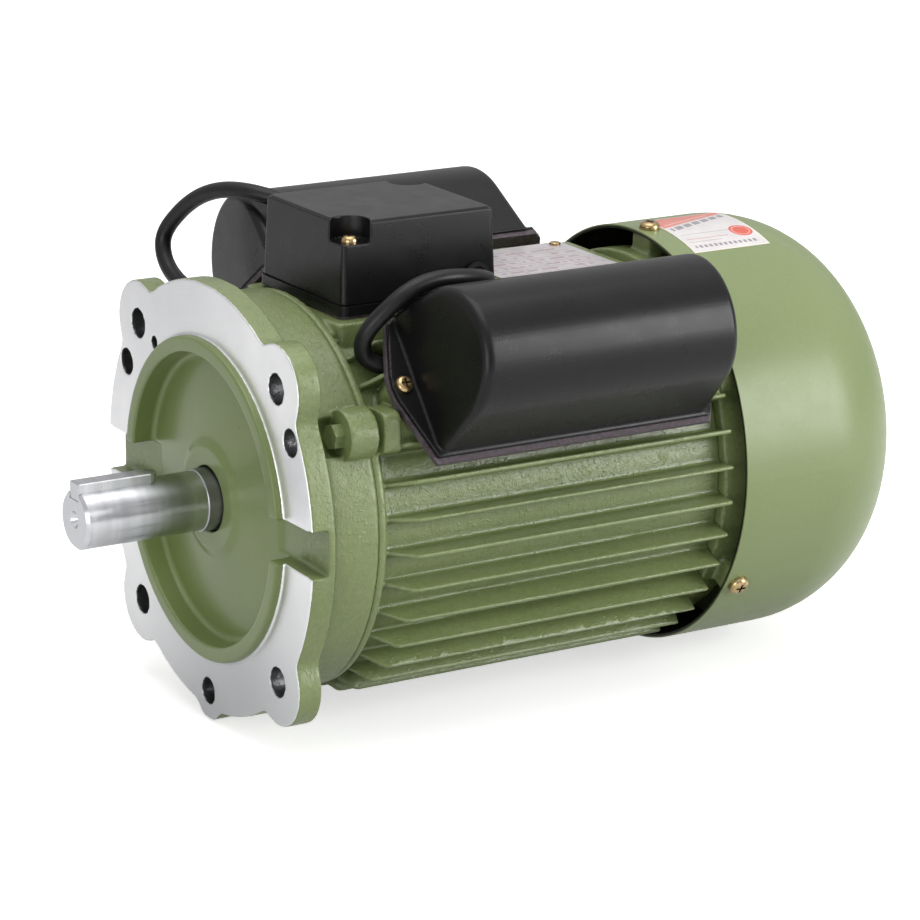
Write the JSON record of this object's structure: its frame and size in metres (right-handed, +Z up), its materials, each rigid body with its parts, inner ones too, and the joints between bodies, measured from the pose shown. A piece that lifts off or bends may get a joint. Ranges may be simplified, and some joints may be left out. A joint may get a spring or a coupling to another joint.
{
  "type": "electric motor",
  "caption": "Flange-mounted single-phase capacitor induction motor with a keyed shaft, finned frame, round fan cover, terminal box and two capacitor housings.",
  "frame": {"origin": "shaft axis in the machined face of the mounting flange", "axes": "+X along the shaft towards its free end, +Z up through the terminal box, +Y towards the right-hand capacitor"},
  "size_m": [0.3495, 0.2292, 0.2036],
  "materials": {
    "casting_paint": "olive green enamel over a sand-cast surface, glossy",
    "sheet_paint": "olive green enamel on pressed sheet steel, satin gloss",
    "bolt_paint": "olive green enamel over hex heads",
    "machined_steel": "turned and polished",
    "lamination": "stacked silicon steel sheets",
    "cast_aluminium": "die-cast",
    "bearing_steel": "ground and polished",
    "spring_steel": "blued",
    "pressed_steel": "zinc passivated",
    "copper": "enamelled round wire, laced and varnished",
    "brass": "bright, lightly tarnished",
    "black_plastic": "moulded, satin",
    "board": "moulded phenolic",
    "fan_plastic": "moulded nylon",
    "governor_plastic": "moulded nylon, natural",
    "capacitor_case": "white moulded case",
    "gasket": "grey cork-rubber sheet",
    "rubber": "moulded, dull",
    "cable": "black flexible sheath",
    "plate_metal": "printed with plain ruled fields",
    "label": "adhesive foil with plain colour fields"
  },
  "bodies": {
    "motor": {"flange_end_shield": "casting_paint", "stator_frame": "casting_paint", "rear_end_shield": "casting_paint", "fan_cover": "sheet_paint", "stator_core": "lamination", "stator_winding": "copper", "front_bearing_outer_ring": "bearing_steel", "rear_bearing_outer_ring": "bearing_steel", "wave_spring": "spring_steel", "shaft_seal": "rubber", "front_shield_bolts": "bolt_paint", "rear_shield_bolts": "bolt_paint", "fan_cover_screws": "brass", "terminal_box_base": "black_plastic", "box_gasket": "gasket", "terminal_box_lid": "black_plastic", "terminal_board": "board", "terminal_studs": "brass", "terminal_links": "brass", "terminal_nuts": "brass", "lid_screws": "brass", "box_base_screws": "pressed_steel", "supply_grommet": "rubber", "right_capacitor_cover": "black_plastic", "left_capacitor_cover": "black_plastic", "right_capacitor_gasket": "gasket", "left_capacitor_gasket": "gasket", "right_capacitor": "capacitor_case", "left_capacitor": "capacitor_case", "capacitor_screws": "brass", "right_capacitor_lead": "cable", "left_capacitor_lead": "cable", "lead_grommets": "rubber", "nameplate": "plate_metal", "nameplate_rivets": "brass", "cover_label": "label", "switch_plate": "board", "switch_contacts": "brass", "switch_screws": "pressed_steel"},
    "rotor": {"shaft": "machined_steel", "shaft_key": "machined_steel", "rotor_core": "lamination", "rotor_cage": "cast_aluminium", "front_bearing_inner_ring": "bearing_steel", "rear_bearing_inner_ring": "bearing_steel", "cooling_fan": "fan_plastic", "fan_clip": "spring_steel", "governor_base": "pressed_steel"},
    "front_ball_set": {"front_bearing_balls": "bearing_steel", "front_bearing_cage": "pressed_steel"},
    "rear_ball_set": {"rear_bearing_balls": "bearing_steel", "rear_bearing_cage": "pressed_steel"},
    "switch_sleeve": {"governor_sleeve": "governor_plastic"},
    "upper_weight": {"upper_governor_weight": "pressed_steel"},
    "lower_weight": {"lower_governor_weight": "pressed_steel"}
  },
  "joints": [
    {"name": "rotor_spin", "type": "hinge", "parent": "motor", "child": "rotor", "pos_m": [0, 0, 0], "axis": [1, 0, 0], "continuous": true},
    {"name": "front_balls_roll", "type": "hinge", "parent": "motor", "child": "front_ball_set", "pos_m": [-0.0175, 0, 0], "axis": [1, 0, 0], "continuous": true},
    {"name": "rear_balls_roll", "type": "hinge", "parent": "motor", "child": "rear_ball_set", "pos_m": [-0.2045, 0, 0], "axis": [1, 0, 0], "continuous": true},
    {"name": "switch_sleeve_slide", "type": "slide", "parent": "rotor", "child": "switch_sleeve", "axis": [1, 0, 0], "range_m": [0, 0.0025]},
    {"name": "upper_weight_swing", "type": "hinge", "parent": "rotor", "child": "upper_weight", "pos_m": [-0.186, 0, 0.031], "axis": [0, -1, 0], "range_deg": [0, 16]},
    {"name": "lower_weight_swing", "type": "hinge", "parent": "rotor", "child": "lower_weight", "pos_m": [-0.186, 0, -0.031], "axis": [0, 1, 0], "range_deg": [0, 16]}
  ],
  "couplings": [
    {"joint": "front_balls_roll", "follows": "rotor_spin", "ratio": 0.397},
    {"joint": "rear_balls_roll", "follows": "rotor_spin", "ratio": 0.397},
    {"joint": "upper_weight_swing", "follows": "switch_sleeve_slide", "rad_per_m": 97.7},
    {"joint": "lower_weight_swing", "follows": "switch_sleeve_slide", "rad_per_m": 97.7}
  ]
}
